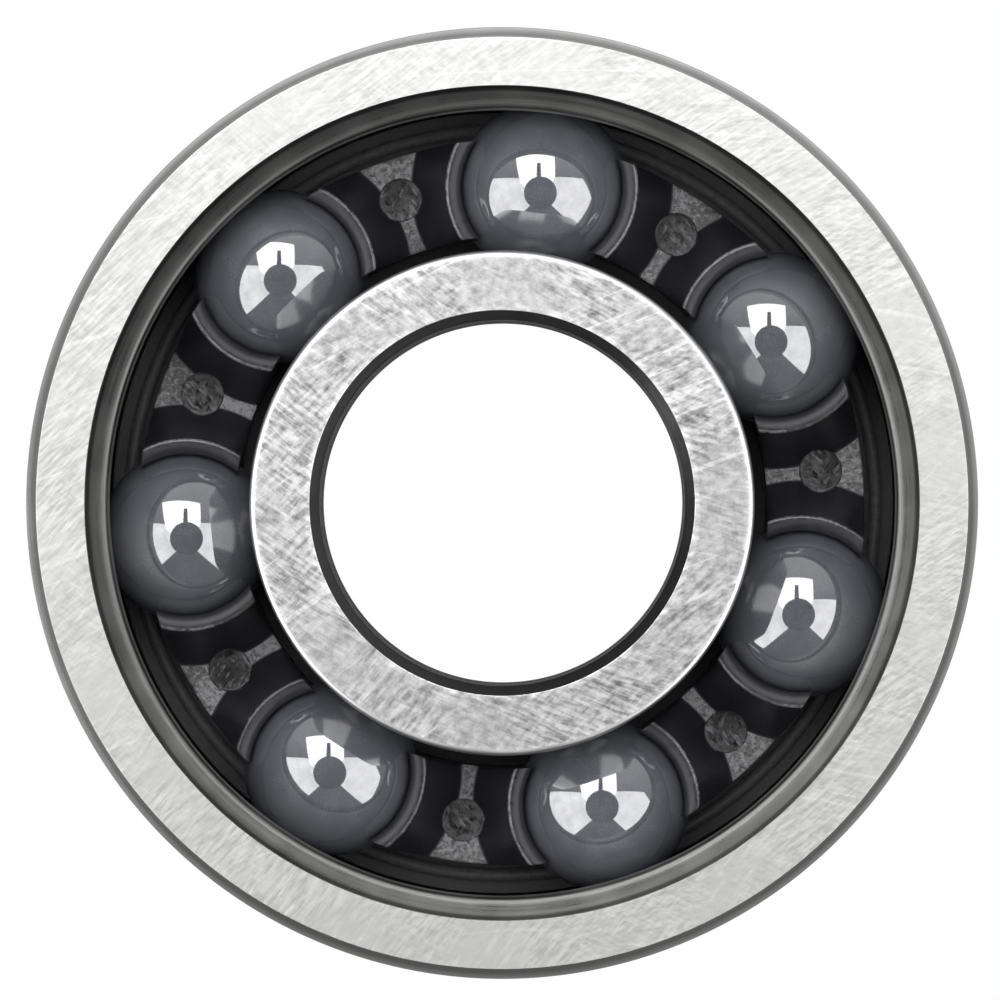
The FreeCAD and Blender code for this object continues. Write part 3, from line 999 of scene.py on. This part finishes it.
def panel(name, strength, uneven, corners):
    """A soft light."""
    tree = new_material(name)
    emission = tree.node("Emission", {"Color": WHITE, "Strength": strength})
    if uneven:
        noise = tree.noise(tree.node("TexCoord").outputs["Object"], scale=18.0)
        level = tree.remap(noise, span=(0.3, 0.7),
                           to=(strength * (1 - uneven), strength * (1 + uneven)))
        tree.tree.links.new(level, emission.inputs["Strength"])
    verts = [reflected(x, y) * PANEL_DISTANCE for x, y in corners]
    hidden_sheet(name, verts, tree.finish(emission))


def shade(name, verts):
    """A dark shape seen only in reflections."""
    material = bpy.data.materials.new(name)
    material.use_nodes = True
    inputs = material.node_tree.nodes["Principled BSDF"].inputs
    inputs["Base Color"].default_value = (0.02, 0.02, 0.02, 1)
    inputs["Roughness"].default_value = 0.9
    ob = hidden_sheet(name, verts, material)
    ob.visible_shadow = False
    ob.visible_diffuse = False


def camera_shades():
    """The dark round of the camera and the narrow post above it."""
    direction = reflected(*ROUND_PLACE)
    turn = direction.to_track_quat("Z", "Y")
    radius = ROUND_DISTANCE * math.tan(2 * math.asin(ROUND_SIZE))
    shade("camera_round", [
        direction * ROUND_DISTANCE
        + turn @ Vector((radius * math.cos(a), radius * math.sin(a), 0))
        for a in np.linspace(0, 2 * math.pi, 49)[:-1]])
    shade("camera_post", [reflected(x, y) * POST_DISTANCE for x, y in POST_OUTLINE])


for entry in PANELS:
    panel(*entry)
camera_shades()


# ------------------------------------------------ floor and world, in metres
def floor():
    """White to the camera; in the steel it glows like a lit floor, with a painted shadow
    that darkens it close to the object; to every other ray it is a dark matt surface."""
    size, z = 3.0, -HALF * MM - 2e-5
    tree = new_material("pale_floor")
    ray = tree.node("LightPath").outputs
    white = tree.node("Emission", {"Color": WHITE})
    matt = tree.node("BsdfDiffuse", {"Color": (*grey(0.05), 1)})
    distance = tree.length(tree.node("NewGeometry").outputs["Position"])
    # painted shadow: the floor's glow in the steel falls from 0.62 far off to 0.05 near the
    # object
    glow = tree.remap(distance, span=(0.013, 0.045), to=(0.05, 0.62))
    lit = tree.node("Emission", {"Strength": glow})
    indirect = tree.node("MixShader", {0: ray["Is Glossy Ray"], 1: matt.outputs[0],
                                       2: lit.outputs[0]})
    seen = tree.node("MixShader", {0: ray["Is Camera Ray"], 1: indirect.outputs[0],
                                   2: white.outputs[0]})
    verts = [(-size, -size, z), (size, -size, z), (size, size, z), (-size, size, z)]
    add_mesh("floor", verts, [(0, 1, 2, 3)], [tree.finish(seen)])


def studio_world():
    """White to the camera; as light, brighter towards +Y and a little +X."""
    world = bpy.data.worlds.new("studio")
    bpy.context.scene.world = world
    tree = Nodes(world, "OutputWorld")

    def combine(operation, a, b):
        return tree.node("Math", {0: a, 1: b}, operation=operation).outputs[0]

    ray = tree.node("LightPath")
    xyz = tree.node("SeparateXYZ", {0: tree.node("TexCoord").outputs["Generated"]})
    base, gain_y, gain_x = 0.22, 1.15, 0.26
    towards_y = combine("MULTIPLY", combine("MAXIMUM", xyz.outputs[1], 0.0), gain_y)
    towards_x = combine("MULTIPLY", combine("MAXIMUM", xyz.outputs[0], 0.0), gain_x)
    level = combine("ADD", combine("ADD", towards_y, towards_x), base)
    light = tree.node("Background", {"Color": (0.98, 0.99, 1.0, 1), "Strength": level})
    white = tree.node("Background", {"Color": WHITE})
    tree.finish(tree.node("MixShader", {0: ray.outputs["Is Camera Ray"],
                                        1: light.outputs[0], 2: white.outputs[0]}))


floor()
studio_world()

# --------------------------------------------------------- camera, in metres
CAM_X = 0.00115
CAM_H = 0.353                                # above the open side's face
VIEW_WIDTH = 0.02729257642                   # seen across that face
SHIFT_X, SHIFT_Y = -0.0021, 0.0030           # aim, in parts of the view's width


def camera():
    """Looks straight down; the shift in X makes up for its place off the axis."""
    data = bpy.data.cameras.new("camera")
    ob = bpy.data.objects.new("camera", data)
    bpy.context.scene.collection.objects.link(ob)
    ob.location = (CAM_X, 0.0, HALF * MM + CAM_H)
    data.sensor_width = 36.0
    data.lens = 36.0 * CAM_H / VIEW_WIDTH
    data.shift_x = SHIFT_X - CAM_X / VIEW_WIDTH
    data.shift_y = SHIFT_Y
    data.clip_start = 0.01
    data.clip_end = 20.0
    scene = bpy.context.scene
    scene.camera = ob
    scene.view_settings.view_transform = "Standard"
    scene.view_settings.look = "None"
    scene.view_settings.exposure = 0.0


camera()
